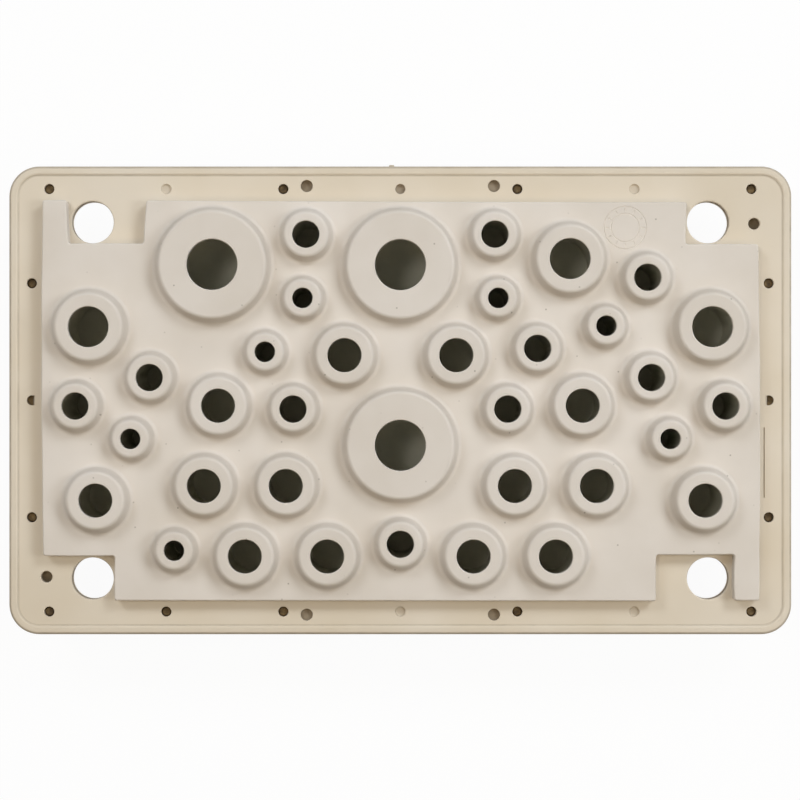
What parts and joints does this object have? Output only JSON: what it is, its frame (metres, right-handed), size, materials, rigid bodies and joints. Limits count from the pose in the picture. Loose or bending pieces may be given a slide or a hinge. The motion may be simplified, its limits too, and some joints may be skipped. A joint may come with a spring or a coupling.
{
  "type": "cable entry plate",
  "caption": "Flat rectangular enclosure plate with a soft mat of round collared cable entries in several sizes, corner fixing holes and a rear seal.",
  "frame": {"origin": "middle of the plate's flat back face, level with the middle of the four corner holes", "axes": "+Z out of the collared side, +X along the plate's long side, +Y up as the plate hangs on a wall; the part lies flat on the tips of its sleeves"},
  "size_m": [0.234, 0.14, 0.032],
  "materials": {
    "ivory_plastic": "fine moulded matte, warm ivory",
    "grey_elastomer": "soft satin thermoplastic elastomer, pale grey",
    "dark_seal": "dark matte elastomer"
  },
  "bodies": {
    "root": {"carrier_plate": "ivory_plastic", "entry_mat": "grey_elastomer", "perimeter_seal": "dark_seal"}
  },
  "joints": []
}
